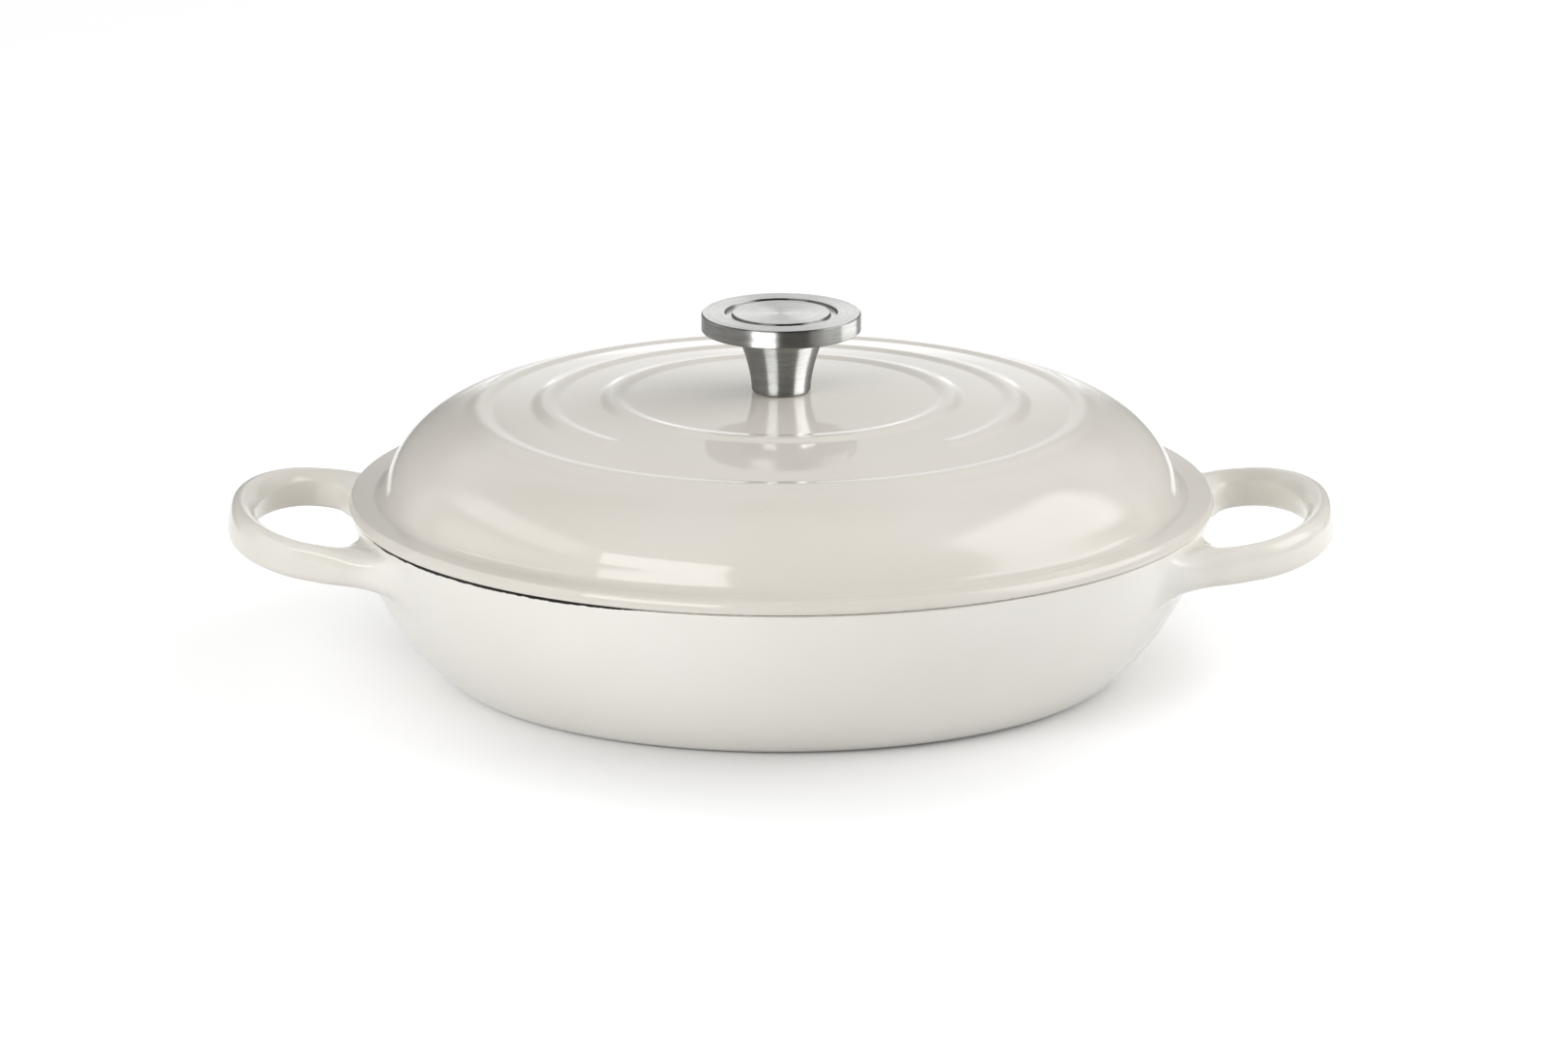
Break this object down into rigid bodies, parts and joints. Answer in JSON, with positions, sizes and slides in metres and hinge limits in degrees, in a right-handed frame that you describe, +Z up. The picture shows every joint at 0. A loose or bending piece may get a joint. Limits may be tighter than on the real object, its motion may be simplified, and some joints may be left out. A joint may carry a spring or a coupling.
{
  "type": "lidded casserole dish",
  "caption": "Shallow round enamelled iron casserole with loop handles cast on, a domed lid with raised rings that lifts off, and a flared steel knob.",
  "frame": {"origin": "middle of the flat base, on the surface that the pot stands on", "axes": "+Z up through the knob, +X out through one loop handle, -Y the front, where the lid's middle ring is broken"},
  "size_m": [0.3942, 0.308, 0.1305],
  "materials": {
    "enamel_pot": "gloss off-white enamel over iron",
    "enamel_lid": "gloss off-white enamel over iron",
    "knob_steel": "turned and brushed",
    "fastener_steel": "plain stainless"
  },
  "bodies": {
    "pot": {"pot": "enamel_pot"},
    "lid": {"lid": "enamel_lid", "knob_stem": "knob_steel", "knob_cap": "knob_steel", "knob_screw": "fastener_steel", "screw_washer": "fastener_steel"}
  },
  "joints": [
    {"name": "lid_lift", "type": "slide", "parent": "pot", "child": "lid", "axis": [0, 0, 1], "range_m": [0, 0.15]}
  ]
}
